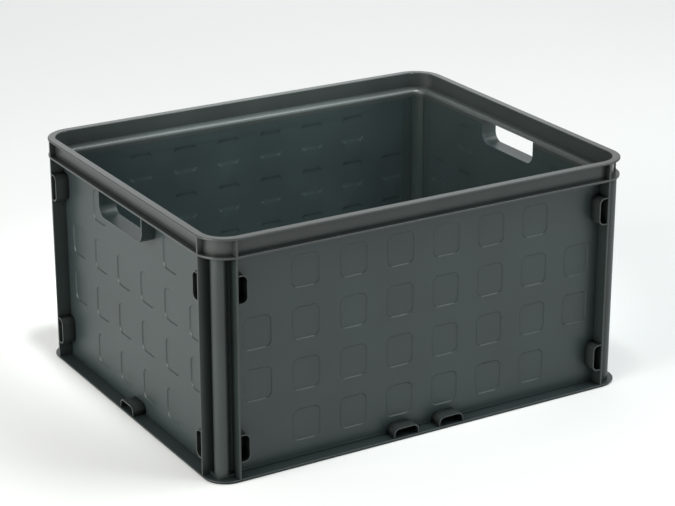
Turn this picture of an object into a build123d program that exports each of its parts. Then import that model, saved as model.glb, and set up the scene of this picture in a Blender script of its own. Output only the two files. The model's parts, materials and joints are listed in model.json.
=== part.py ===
"""Knock-down storage crate: base tray, corner posts, wall panels, rim and push-in locking clips.

Millimetres, +Z up. X runs along the long walls, and the origin is the middle of the footprint, on
the floor. Every piece is one solid, written to its own STEP file.

Walls are drawn in a wall frame: X along the wall, Y inwards from the outside plane of the crate,
Z up. Corner posts are drawn in a corner frame: X and Y both run inwards from the outside planes.
"""

import math
import os

from build123d import *

# Overall size, over the rim and the base flange
LENGTH = 546.0
WIDTH = 438.0
HEIGHT = 280.0

# Clearances
FIT_GAP = 0.3            # between pieces that slide past each other
SHANK_GAP = 0.25         # round a clip shank in its hole and pocket
END_GAP = 0.2            # between the tip of a shank and the bottom of its pocket

# Rim
RIM_CORNER_R = 36.0
RIM_TOP_W = 9.2          # width of the top face
RIM_TOP_T = 2.2
RIM_WALL_T = 2.0         # upright wall of the band
RIM_DEPTH = 20.5         # top face down to the ledge
LEDGE_T = 2.4            # ledge over the posts and panels
SHOULDER_RISE = 1.6      # shoulder inside the band, above the ledge
SHOULDER_R = 6.0         # rounding of the shoulder, into the crate
RIM_LIP_H = 6.0          # lip behind the tops of posts and panels
RIM_EDGE_R = 1.0         # rounding of the top edges
LEDGE_EDGE_R = 0.8       # rounding of the ledge's outer edge

# Base tray
BASE_CORNER_R = 28.0
FOOT_H = 1.6             # stacking foot, below the flange
FOOT_SET = 1.6           # foot behind the flange's edge
FOOT_W = 16.0
FLOOR_T = 2.0
RIB_T = 2.4              # ribs under the floor
RIB_PITCH = 60.0
UPSTAND_H = 17.0         # upstand behind the bottoms of the panels
BASE_EDGE_R = 0.6

# Corner posts
FIN_AT = 31.5            # middle of a fin, from the outside plane
FIN_T = 2.4
FIN_SET = 0.5            # fin's edge behind the outside plane
FIN_EDGE_R = 0.6
WING_SET = 14.5          # wall between fin and column, behind the outside plane
COLUMN_SET = 19.0        # centre of the column, from both outside planes
COLUMN_R = 9.0
BORE_W = 9.0             # square bore that takes the spigots of rim and base
INNER_CORNER_R = 16.0
POST_LIP_L = 12.5        # lip behind a panel's edge, along the wall
PLINTH_SET = 9.5         # plinth at the foot of the column, behind the outside planes
PLINTH_R = 12.0
PLINTH_H = 4.0

# Spigots
SPIGOT_L = 25.0
SPIGOT_CHAMFER = 1.2

# Wall panels
PANEL_SET = 17.5         # panel's face behind the outside plane
TONGUE_T = 1.7           # thin edge of a panel, in front of the lips
LIP_T = 2.0              # lips of posts, base and rim, with the clip pockets in them
DIMPLE_W = 35.0
DIMPLE_H = 38.0
DIMPLE_R = 8.0
DIMPLE_DEPTH = 0.9
DIMPLE_SLOPE = 1.0       # width of a dimple's sloping side
DIMPLE_PITCH = 60.0
DIMPLE_ROWS = 4
DIMPLE_RISE = 1.5        # middle of the rows above the middle of the wall
DENT_INSET = 1.0         # dent behind a dimple, inside the crate, inside the dimple's outline
DENT_DEPTH = 0.7
DENT_SLOPE = 2.5
BEAD_W = 1.0             # bead along the bottom of a panel
BEAD_H = 1.6

# Handles in the short walls
HANDLE_W = 112.0         # outside of the U-shaped channel
HANDLE_H = 31.5
HANDLE_T = 2.4
HANDLE_R = 15.0
HANDLE_SET = 0.8         # edge of the channel behind the outside plane

# Locking clips: D-shaped hollow head, shank behind it
CLIP_W = 11.5
CLIP_L = 33.0
CLIP_T = 1.5
CLIP_R = 7.5
CLIP_SET = 0.8           # head's edge behind the outside plane
CLIP_BACK_T = 2.0
CLIP_END_DIST = 35.5     # middle of an upright clip, from the end of the post
CLIP_SPREAD = 30.0       # bottom clips of a long wall, from its middle
SHANK_W = 6.0
SHANK_L = 16.0
POCKET_FLOOR = 0.6       # what is left of the lip behind a pocket

# Heights and depths that follow
FLANGE_TOP = FOOT_H + FLOOR_T
LEDGE_TOP = HEIGHT - RIM_DEPTH
LEDGE_BOTTOM = LEDGE_TOP - LEDGE_T
RIM_LIP_FOOT = LEDGE_BOTTOM - RIM_LIP_H
BAND_FACE = RIM_TOP_W - RIM_WALL_T
TONGUE_BACK = PANEL_SET + TONGUE_T
LIP_FACE = TONGUE_BACK + FIT_GAP
LIP_BACK = LIP_FACE + LIP_T
FIN_FAR = FIN_AT + FIN_T / 2
PANEL_EDGE = FIN_FAR + FIT_GAP
LIP_END = FIN_FAR + POST_LIP_L
PANEL_BOTTOM = FLANGE_TOP + FIT_GAP
PANEL_TOP = LEDGE_BOTTOM - FIT_GAP
SPIGOT_W = BORE_W - 2 * FIT_GAP
CLIP_HEAD_BACK = PANEL_SET - FIT_GAP / 2
SHANK_TIP = LIP_BACK - POCKET_FLOOR - END_GAP

# name of a wall: turn about Z, distance of its outside plane, half its length, is it a long wall
WALLS = {
    "front": (0, WIDTH / 2, LENGTH / 2, True),
    "right": (90, LENGTH / 2, WIDTH / 2, False),
    "back": (180, WIDTH / 2, LENGTH / 2, True),
    "left": (270, LENGTH / 2, WIDTH / 2, False),
}
CORNERS = {"front_left": (-1, -1), "front_right": (1, -1), "back_right": (1, 1), "back_left": (-1, 1)}


def block(x0, x1, y0, y1, z0, z1):
    """A box from its limits."""
    return Pos((x0 + x1) / 2, (y0 + y1) / 2, (z0 + z1) / 2) * Box(x1 - x0, y1 - y0, z1 - z0)


def plate(inset, radius, z0, z1):
    """A slab of the crate's plan, drawn in by an inset."""
    outline = RectangleRounded(LENGTH - 2 * inset, WIDTH - 2 * inset, radius)
    return Pos(0, 0, z0) * extrude(outline, z1 - z0)


def ring(outer_inset, outer_radius, inner_inset, inner_radius, z0, z1):
    """A closed band that follows the crate's plan."""
    return plate(outer_inset, outer_radius, z0, z1) - plate(inner_inset, inner_radius, z0, z1)


def along_wall(outline, x0, x1):
    """Extrudes an outline of (depth, height) points along a wall."""
    face = make_face(Plane.YZ * Polyline(*outline, close=True))
    return Pos(x0, 0, 0) * extrude(face, x1 - x0, dir=(1, 0, 0))


def in_wall(outline, depth, amount):
    """Extrudes an outline drawn on a wall's face from a depth, inwards for a positive amount."""
    return Pos(0, depth, 0) * extrude(Plane.XZ * outline, -amount)


def to_wall(shape, wall):
    """Moves a shape from the wall frame to its wall."""
    turn, distance, _, _ = WALLS[wall]
    return Rot(0, 0, turn) * Pos(0, -distance, 0) * shape


def to_corner(shape, corner):
    """Moves a shape from the corner frame to its corner."""
    sign_x, sign_y = CORNERS[corner]
    moved = Pos(-LENGTH / 2, -WIDTH / 2, 0) * shape
    if sign_x > 0:
        moved = moved.mirror(Plane.YZ)
    if sign_y > 0:
        moved = moved.mirror(Plane.XZ)
    return moved


def clip_places(wall):
    """Where a wall's clips go: name, turn in the wall's face, X and Z of the flat side's middle."""
    _, _, half, is_long = WALLS[wall]
    side = half - PANEL_EDGE
    low = FLANGE_TOP + CLIP_END_DIST
    high = LEDGE_BOTTOM - CLIP_END_DIST
    places = [
        ("upper_a", 0, -side, high),
        ("lower_a", 0, -side, low),
        ("upper_b", 180, side, high),
        ("lower_b", 180, side, low),
    ]
    seat = FLANGE_TOP + FIT_GAP
    if is_long:
        places.append(("bottom_a", -90, -CLIP_SPREAD, seat))
        places.append(("bottom_b", -90, CLIP_SPREAD, seat))
    else:
        places.append(("bottom", -90, 0, seat))
    return places


def at_clip(shape, place):
    """Moves a shape from the clip's own frame, flat side at X = 0, to its place on the wall."""
    _, turn, x, z = place
    return Pos(x, 0, z) * Rot(0, turn, 0) * shape


def shank(gap, start, tip):
    """The clip's shank, or with a gap the hole for it."""
    middle = CLIP_W / 2
    half_w = SHANK_W / 2 + gap
    half_l = SHANK_L / 2 + gap
    return block(middle - half_w, middle + half_w, start, tip, -half_l, half_l)


def head_outline(inset):
    """The D of a clip's head, open on its flat side where it is drawn in."""
    width = CLIP_W - inset
    length = CLIP_L - 2 * inset
    outline = RectangleRounded(2 * width, length, CLIP_R - inset)
    return outline & (Pos(width, 0) * Rectangle(2 * width, 2 * length))


def clip():
    """One locking clip in its own frame."""
    head = in_wall(head_outline(0), CLIP_SET, CLIP_HEAD_BACK - CLIP_SET)
    cavity = in_wall(head_outline(CLIP_T), CLIP_SET, CLIP_HEAD_BACK - CLIP_BACK_T - CLIP_SET)
    tip = shank(0, CLIP_HEAD_BACK, SHANK_TIP)
    tip = chamfer(tip.faces().sort_by(Axis.Y)[-1].edges(), SHANK_W / 10)
    return head - cavity + tip


def pockets(wall):
    """The holes and pockets for a wall's clips, from the panel's face into the lips."""
    cut = shank(SHANK_GAP, PANEL_SET - BEAD_W - FIT_GAP, LIP_BACK - POCKET_FLOOR)
    return [at_clip(cut, place) for place in clip_places(wall)]


def hollow(width, height, radius, slope, depth, amount):
    """A shallow cut with sloping sides into a wall, inwards for a positive amount."""
    outline = RectangleRounded(width, height, radius)
    lean = math.degrees(math.atan2(slope, abs(amount)))
    return Pos(0, depth, 0) * extrude(Plane.XZ * outline, -amount, taper=lean)


def dimple_places(wall):
    """X and Z of the middles of a wall's dimples."""
    _, _, half, is_long = WALLS[wall]
    columns = int((2 * (half - PANEL_EDGE) + FIT_GAP) // DIMPLE_PITCH)
    columns -= columns % 2
    middle_z = (FLANGE_TOP + LEDGE_BOTTOM) / 2 + DIMPLE_RISE
    places = []
    for column in range(columns):
        x = (column - (columns - 1) / 2) * DIMPLE_PITCH
        for row in range(DIMPLE_ROWS):
            by_clips = column in (0, columns - 1) and row in (0, DIMPLE_ROWS - 1)
            by_handle = not is_long and row == DIMPLE_ROWS - 1 and abs(x) < HANDLE_W / 2
            if not by_clips and not by_handle:
                places.append((x, middle_z + (row - (DIMPLE_ROWS - 1) / 2) * DIMPLE_PITCH))
    return places


def panel(wall):
    """A wall panel, in the wall frame: thin tongue in front of the lips, thicker field between them."""
    _, _, half, is_long = WALLS[wall]
    edge = half - PANEL_EDGE
    reach = half - LIP_END - FIT_GAP
    body = block(-edge, edge, PANEL_SET, TONGUE_BACK, PANEL_BOTTOM, PANEL_TOP)
    field_foot = FLANGE_TOP + UPSTAND_H + FIT_GAP
    body += block(-reach, reach, PANEL_SET, LIP_BACK, field_foot, RIM_LIP_FOOT - FIT_GAP)
    body += block(-edge, edge, PANEL_SET - BEAD_W, TONGUE_BACK, PANEL_BOTTOM, PANEL_BOTTOM + BEAD_H)
    seat_w = CLIP_L / 2 + FIT_GAP
    seats = [place[2] for place in clip_places(wall) if place[1] == -90]
    body -= [block(x - seat_w, x + seat_w, 0, PANEL_SET, 0, HEIGHT) for x in seats]

    dimple = hollow(DIMPLE_W, DIMPLE_H, DIMPLE_R, DIMPLE_SLOPE, PANEL_SET, DIMPLE_DEPTH)
    dent_w = DIMPLE_W - 2 * DENT_INSET
    dent_h = DIMPLE_H - 2 * DENT_INSET
    dent = hollow(dent_w, dent_h, DIMPLE_R - DENT_INSET, DENT_SLOPE, LIP_BACK, -DENT_DEPTH)
    places = dimple_places(wall)
    body -= [Pos(x, 0, z) * dimple for x, z in places]
    body -= [Pos(x, 0, z) * dent for x, z in places]

    if not is_long:
        body += handle_channel(0, HANDLE_SET, TONGUE_BACK)
        body -= handle_channel(HANDLE_T, 0, LIP_BACK + FIT_GAP)
    return body - pockets(wall)


def handle_channel(inset, start, stop):
    """The handle's U outline, drawn in by an inset, from one depth to another."""
    width = HANDLE_W - 2 * inset
    bottom = PANEL_TOP - HANDLE_H + inset
    outline = Pos(0, bottom + HANDLE_H) * RectangleRounded(width, 2 * HANDLE_H, HANDLE_R - inset)
    opening = Pos(0, (bottom + PANEL_TOP) / 2) * Rectangle(width, PANEL_TOP - bottom)
    return in_wall(outline & opening, start, stop - start)


def lip(wall, z0, z1):
    """A lip behind a panel, between the lips of the two posts."""
    reach = WALLS[wall][2] - LIP_END - FIT_GAP
    return block(-reach, reach, LIP_FACE, LIP_BACK, z0, z1)


def base_tray():
    """Floor, stacking foot, flange, upstands and the spigots that the posts stand on."""
    body = plate(0, BASE_CORNER_R, FOOT_H, FLANGE_TOP)
    body = fillet(body.edges().filter_by(Axis.Z, reverse=True), BASE_EDGE_R)
    foot_r = BASE_CORNER_R - FOOT_SET
    body += ring(FOOT_SET, foot_r, FOOT_SET + FOOT_W, foot_r - FOOT_W, 0, FOOT_H)
    for half, other, turn in ((LENGTH / 2, WIDTH / 2, 0), (WIDTH / 2, LENGTH / 2, 90)):
        reach = other - FOOT_SET - FOOT_W / 2
        count = int((half - FOOT_SET - FOOT_W) // RIB_PITCH)
        for n in range(-count, count + 1):
            rib = block(n * RIB_PITCH - RIB_T / 2, n * RIB_PITCH + RIB_T / 2, -reach, reach, 0, FOOT_H)
            body += Rot(0, 0, turn) * rib
    for wall in WALLS:
        upstand = lip(wall, FLANGE_TOP, FLANGE_TOP + UPSTAND_H)
        for pocket in pockets(wall):
            upstand -= pocket
        body += to_wall(upstand, wall)
    for corner in CORNERS:
        body += to_corner(spigot(FLANGE_TOP, SPIGOT_L), corner)
    return body


def spigot(z, length):
    """A square spigot in the corner frame, up from z, or down for a negative length."""
    half = SPIGOT_W / 2
    low = min(z, z + length)
    high = max(z, z + length)
    peg = block(COLUMN_SET - half, COLUMN_SET + half, COLUMN_SET - half, COLUMN_SET + half, low, high)
    tip = peg.faces().sort_by(Axis.Z)[-1 if length > 0 else 0]
    return chamfer(tip.edges(), SPIGOT_CHAMFER)


def inside(inset, radius):
    """Everything inside a line that runs round the inner corner, as an outline in the corner frame."""
    room = 10 * LIP_END
    return Pos(inset + room / 2, inset + room / 2) * RectangleRounded(room, room, radius)


def corner_post():
    """A post in the corner frame: column, two fins, and lips behind the panels' edges."""
    span = FIN_FAR - WING_SET
    middle = WING_SET + span / 2
    outline = Pos(middle, middle) * Rectangle(span, span)
    outline += Pos(COLUMN_SET, COLUMN_SET) * Circle(COLUMN_R)
    for flip in (False, True):
        lip_length = LIP_END - WING_SET
        fin_depth = WING_SET + FIN_T - FIN_SET
        lip_at = (WING_SET + lip_length / 2, LIP_FACE + LIP_T / 2)
        fin_at = (FIN_AT, FIN_SET + fin_depth / 2)
        lip_size = (lip_length, LIP_T)
        fin_size = (FIN_T, fin_depth)
        if flip:
            lip_at, fin_at = lip_at[::-1], fin_at[::-1]
            lip_size, fin_size = lip_size[::-1], fin_size[::-1]
        outline += Pos(*lip_at) * Rectangle(*lip_size)
        outline += Pos(*fin_at) * RectangleRounded(*fin_size, FIN_EDGE_R)
    body = Pos(0, 0, FLANGE_TOP) * extrude(outline, LEDGE_BOTTOM - FLANGE_TOP)

    plinth = inside(PLINTH_SET, PLINTH_R) & (Pos(FIN_FAR / 2, FIN_FAR / 2) * Rectangle(FIN_FAR, FIN_FAR))
    body += Pos(0, 0, FLANGE_TOP) * extrude(plinth, PLINTH_H)
    body -= extrude(inside(LIP_BACK, INNER_CORNER_R), HEIGHT)
    rim_lip = inside(TONGUE_BACK, INNER_CORNER_R + LIP_T + FIT_GAP)
    body -= Pos(0, 0, RIM_LIP_FOOT - FIT_GAP) * extrude(rim_lip, HEIGHT)
    bore = Pos(COLUMN_SET, COLUMN_SET) * Rectangle(BORE_W, BORE_W)
    return body - extrude(bore, HEIGHT)


def posts():
    """The four posts in place, with the pockets for the clips of both walls they hold."""
    made = {}
    for corner in CORNERS:
        body = to_corner(corner_post(), corner)
        for wall in corner_walls(corner):
            for pocket in pockets(wall):
                body -= to_wall(pocket, wall)
        made[corner] = body
    return made


def corner_walls(corner):
    """The two walls that meet at a corner."""
    return corner.split("_")


def rim():
    """The closed rim: top face, band wall, ledge, fins, shoulder, lip and spigots."""
    inner_r = RIM_CORNER_R - RIM_TOP_W
    top = ring(0, RIM_CORNER_R, RIM_TOP_W, inner_r, HEIGHT - RIM_TOP_T, HEIGHT)
    top = fillet(top.edges().group_by(Axis.Z)[-1], RIM_EDGE_R)
    ledge = plate(0, RIM_CORNER_R, LEDGE_BOTTOM, LEDGE_TOP)
    ledge = fillet(ledge.edges().group_by(Axis.Z)[-1], LEDGE_EDGE_R)
    ledge -= plate(RIM_TOP_W, inner_r, 0, HEIGHT)
    band_r = RIM_CORNER_R - BAND_FACE
    band = ring(BAND_FACE, band_r, RIM_TOP_W, inner_r, LEDGE_BOTTOM, HEIGHT - RIM_TOP_T / 2)

    shoulder = plate(BAND_FACE, band_r, LEDGE_BOTTOM, LEDGE_TOP + SHOULDER_RISE)
    shoulder += plate(LIP_FACE, INNER_CORNER_R + LIP_T, RIM_LIP_FOOT, LEDGE_BOTTOM)
    shoulder -= plate(LIP_BACK, INNER_CORNER_R, 0, HEIGHT)
    inner_edge = shoulder.faces().sort_by(Axis.Z)[-1].inner_wires()[0].edges()
    body = top + band + ledge + fillet(inner_edge, SHOULDER_R)

    gap = HANDLE_W / 2 - HANDLE_T
    fin_back = RIM_TOP_W - RIM_WALL_T / 2
    fin_foot = LEDGE_TOP - LEDGE_T / 2
    fin_top = HEIGHT - RIM_TOP_T / 2
    for wall, (_, _, half, is_long) in WALLS.items():
        for x in (FIN_AT - half, half - FIN_AT):
            fin = block(x - FIN_T / 2, x + FIN_T / 2, FIN_SET, fin_back, fin_foot, fin_top)
            body += to_wall(fin, wall)
        if not is_long:
            body -= to_wall(block(-gap, gap, 0, LIP_BACK + FIT_GAP, RIM_LIP_FOOT, LEDGE_BOTTOM), wall)
    for corner in CORNERS:
        body += to_corner(spigot(LEDGE_BOTTOM, -SPIGOT_L), corner)
    return body


def pieces():
    """Every piece of the crate by name."""
    made = {"base_tray": base_tray(), "rim": rim()}
    for corner, body in posts().items():
        made[f"corner_post_{corner}"] = body
    for wall in WALLS:
        made[f"{wall}_panel"] = to_wall(panel(wall), wall)
        for place in clip_places(wall):
            made[f"{wall}_clip_{place[0]}"] = to_wall(at_clip(clip(), place), wall)
    return made


os.makedirs("parts", exist_ok=True)
for name, solid in pieces().items():
    export_step(solid, f"parts/{name}.step")
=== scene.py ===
"""Looks of the knock-down storage crate: camera, studio, moulded plastic and softened edges.

Metres, in the same frame as the CAD model: +X along the long walls, +Z up, the origin in the middle
of the footprint on the floor.
"""

import json
import math

import bpy
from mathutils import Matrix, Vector

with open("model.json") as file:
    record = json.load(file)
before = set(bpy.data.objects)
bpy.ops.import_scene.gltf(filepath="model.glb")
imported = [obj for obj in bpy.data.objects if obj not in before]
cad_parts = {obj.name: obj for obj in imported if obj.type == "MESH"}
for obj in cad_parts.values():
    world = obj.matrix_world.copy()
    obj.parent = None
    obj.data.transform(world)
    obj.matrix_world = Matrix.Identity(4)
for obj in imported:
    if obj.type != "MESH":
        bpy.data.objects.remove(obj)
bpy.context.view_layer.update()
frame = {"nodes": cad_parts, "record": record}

# Camera: the point it looks at, and where it stands seen from that point
LOOK_AT = Vector((-0.001, -0.018, 0.152))
CAMERA_AZIMUTH = math.radians(30.85)     # round from straight in front towards the left wall
CAMERA_ELEVATION = math.radians(20.78)
CAMERA_DISTANCE = 2.56
CAMERA_REACH = 50
SENSOR_WIDTH = 36.0
LENS = 115.9

# Studio
WORLD_TINT = (0.97, 1.0, 0.99, 1)
WORLD_STRENGTH = 0.56
FLOOR_HALF = 12.0
FLOOR_SHADE = (0.86, 0.86, 0.86, 1)
FLOOR_ROUGHNESS = 0.9
FLOOR_GLOW = 0.04
# name, place, aim, size, spread in degrees, watts and tint of each soft light
LIGHTS = [
    ("left", (-2.4, -0.3, 0.8), (0, 0, 0.15), 1.5, 180, 62, (1.0, 0.975, 0.92)),
    ("front_right", (2.0, -2.2, 0.9), (0, 0, 0.15), 1.5, 180, 13, (0.84, 1.0, 1.0)),
    ("overhead", (1.2, -0.9, 2.2), (0, 0, 0.15), 1.2, 180, 32, (0.95, 1.0, 1.0)),
    ("inside", (-0.12, -0.2, 1.6), (0.03, 0.14, 0.15), 0.3, 26, 1.8, (0.95, 1.0, 0.98)),
    ("back", (1.4, 2.6, 1.1), (0, 0, 0.15), 1.8, 180, 8, (1.0, 1.0, 1.0)),
]

# Softened edges of the mouldings
WELD_REACH = 0.00001
EDGE_RADIUS = 0.0006
EDGE_SEGMENTS = 2
EDGE_ANGLE = math.radians(32)

# Shade, roughness and power of the painted shade in the hollows, for the plastic of each material
# slot
PLASTICS = {
    "base": ((0.021, 0.030, 0.030), 0.38, 0.6),
    "posts": ((0.021, 0.029, 0.028), 0.34, 0.6),
    "rim": ((0.030, 0.036, 0.035), 0.32, 0.6),
    "panels": ((0.020, 0.030, 0.030), 0.40, 0.4),
    "clips": ((0.024, 0.030, 0.029), 0.34, 2.2),
}
IOR = 1.49

# Faint mottling of shade and sheen
MOTTLE_SCALE = 14
MOTTLE_DETAIL = 4
MOTTLE_FROM = 0.35
MOTTLE_TO = 0.65
MOTTLE_DARK = 0.92
MOTTLE_LIGHT = 1.08
SHEEN_RANGE = 0.04

# Painted shade in hollows: how near a surface darkens its neighbour's colour and specular level,
# and the specular level in the open
PAINTED_SHADE_REACH = 0.012
PAINTED_SHADE_SAMPLES = 4
OPEN_SPECULAR = 0.5

# Fine grain of the moulded surface
GRAIN_SCALE = 1400
GRAIN_DETAIL = 2
GRAIN_STRENGTH = 0.12
GRAIN_DEPTH = 0.0002

# Sockets of a Mix node set to colours. Its socket names repeat for each data type.
MIX_FACTOR = 0
MIX_A = 6
MIX_B = 7
MIX_RESULT = 2


def camera():
    """The camera, aimed at the middle of the crate."""
    away = Vector((
        -math.sin(CAMERA_AZIMUTH) * math.cos(CAMERA_ELEVATION),
        -math.cos(CAMERA_AZIMUTH) * math.cos(CAMERA_ELEVATION),
        math.sin(CAMERA_ELEVATION),
    ))
    data = bpy.data.cameras.new("camera")
    data.sensor_width = SENSOR_WIDTH
    data.lens = LENS
    data.clip_end = CAMERA_REACH
    obj = bpy.data.objects.new("camera", data)
    obj.location = LOOK_AT + away * CAMERA_DISTANCE
    obj.rotation_euler = (-away).to_track_quat("-Z", "Y").to_euler()
    bpy.context.collection.objects.link(obj)
    bpy.context.scene.camera = obj


def area_light(name, place, aim, size, spread, power, tint):
    """A soft square light at a place, aimed at a point."""
    data = bpy.data.lights.new(name, "AREA")
    data.shape = "SQUARE"
    data.size = size
    data.spread = math.radians(spread)
    data.energy = power
    data.color = tint
    obj = bpy.data.objects.new(name, data)
    obj.location = place
    obj.rotation_euler = (Vector(aim) - Vector(place)).to_track_quat("-Z", "Y").to_euler()
    bpy.context.collection.objects.link(obj)


def studio():
    """Pale floor, pale surroundings and soft lights."""
    bpy.context.scene.view_settings.view_transform = "Standard"
    world = bpy.data.worlds.new("studio")
    world.use_nodes = True
    background = world.node_tree.nodes["Background"]
    background.inputs["Color"].default_value = WORLD_TINT
    background.inputs["Strength"].default_value = WORLD_STRENGTH
    bpy.context.scene.world = world

    mesh = bpy.data.meshes.new("floor")
    corners = [(x * FLOOR_HALF, y * FLOOR_HALF, 0) for x, y in ((-1, -1), (1, -1), (1, 1), (-1, 1))]
    mesh.from_pydata(corners, [], [(0, 1, 2, 3)])
    floor = bpy.data.objects.new("floor", mesh)
    bpy.context.collection.objects.link(floor)
    material = bpy.data.materials.new("floor")
    material.use_nodes = True
    shader = material.node_tree.nodes["Principled BSDF"]
    shader.inputs["Base Color"].default_value = FLOOR_SHADE
    shader.inputs["Roughness"].default_value = FLOOR_ROUGHNESS
    shader.inputs["Emission Color"].default_value = (1, 1, 1, 1)
    shader.inputs["Emission Strength"].default_value = FLOOR_GLOW
    mesh.materials.append(material)

    for light in LIGHTS:
        area_light(*light)


def plastic(name, shade, roughness, painted_shade_power):
    """Moulded polypropylene: fine grain, faint mottling, a satin sheen, and painted shade that
    darkens the colour and specular level in hollows.
    """
    material = bpy.data.materials.new(name)
    material.use_nodes = True
    tree = material.node_tree
    nodes = tree.nodes
    links = tree.links
    shader = nodes["Principled BSDF"]
    shader.inputs["IOR"].default_value = IOR
    place = nodes.new("ShaderNodeTexCoord")

    mottle = nodes.new("ShaderNodeTexNoise")
    mottle.inputs["Scale"].default_value = MOTTLE_SCALE
    mottle.inputs["Detail"].default_value = MOTTLE_DETAIL
    links.new(place.outputs["Object"], mottle.inputs["Vector"])
    colour = nodes.new("ShaderNodeValToRGB")
    dark, light = colour.color_ramp.elements
    dark.position = MOTTLE_FROM
    light.position = MOTTLE_TO
    dark.color = (*[MOTTLE_DARK * c for c in shade], 1)
    light.color = (*[MOTTLE_LIGHT * c for c in shade], 1)
    links.new(mottle.outputs["Fac"], colour.inputs["Fac"])

    # Painted shade: ambient occlusion darkens the colour and the specular level in hollows and near
    # other surfaces
    painted_shade_ao = nodes.new("ShaderNodeAmbientOcclusion")
    painted_shade_ao.samples = PAINTED_SHADE_SAMPLES
    painted_shade_ao.inputs["Distance"].default_value = PAINTED_SHADE_REACH
    painted_shade_factor = nodes.new("ShaderNodeMath")
    painted_shade_factor.operation = "POWER"
    painted_shade_factor.inputs[1].default_value = painted_shade_power
    links.new(painted_shade_ao.outputs["AO"], painted_shade_factor.inputs[0])
    colour_with_painted_shade = nodes.new("ShaderNodeMix")
    colour_with_painted_shade.data_type = "RGBA"
    colour_with_painted_shade.blend_type = "MULTIPLY"
    colour_with_painted_shade.inputs[MIX_FACTOR].default_value = 1
    links.new(colour.outputs["Color"], colour_with_painted_shade.inputs[MIX_A])
    links.new(painted_shade_factor.outputs["Value"], colour_with_painted_shade.inputs[MIX_B])
    links.new(colour_with_painted_shade.outputs[MIX_RESULT], shader.inputs["Base Color"])
    specular_with_painted_shade = nodes.new("ShaderNodeMath")
    specular_with_painted_shade.operation = "MULTIPLY"
    specular_with_painted_shade.inputs[1].default_value = OPEN_SPECULAR
    links.new(painted_shade_factor.outputs["Value"], specular_with_painted_shade.inputs[0])
    links.new(specular_with_painted_shade.outputs["Value"], shader.inputs["Specular IOR Level"])

    sheen = nodes.new("ShaderNodeMapRange")
    sheen.inputs["To Min"].default_value = roughness - SHEEN_RANGE
    sheen.inputs["To Max"].default_value = roughness + SHEEN_RANGE
    links.new(mottle.outputs["Fac"], sheen.inputs["Value"])
    links.new(sheen.outputs["Result"], shader.inputs["Roughness"])

    grain = nodes.new("ShaderNodeTexNoise")
    grain.inputs["Scale"].default_value = GRAIN_SCALE
    grain.inputs["Detail"].default_value = GRAIN_DETAIL
    links.new(place.outputs["Object"], grain.inputs["Vector"])
    bump = nodes.new("ShaderNodeBump")
    bump.inputs["Strength"].default_value = GRAIN_STRENGTH
    bump.inputs["Distance"].default_value = GRAIN_DEPTH
    links.new(grain.outputs["Fac"], bump.inputs["Height"])
    links.new(bump.outputs["Normal"], shader.inputs["Normal"])
    return material


def soften(obj):
    """Rounds the sharp edges of a moulding."""
    weld = obj.modifiers.new("weld", "WELD")
    weld.merge_threshold = WELD_REACH
    bevel = obj.modifiers.new("edges", "BEVEL")
    bevel.width = EDGE_RADIUS
    bevel.segments = EDGE_SEGMENTS
    bevel.limit_method = "ANGLE"
    bevel.angle_limit = EDGE_ANGLE
    bevel.harden_normals = False
    normals = obj.modifiers.new("normals", "WEIGHTED_NORMAL")
    normals.keep_sharp = False


def dress():
    """Gives every piece its plastic and softened edges."""
    slots = {part["node"]: part["material_slot"] for part in frame["record"]["subparts"]}
    made = {slot: plastic(f"{slot}_plastic", *look) for slot, look in PLASTICS.items()}
    for name, obj in frame["nodes"].items():
        for slot in obj.material_slots:
            slot.link = "OBJECT"
            slot.material = made[slots[name]]
        soften(obj)


camera()
studio()
dress()
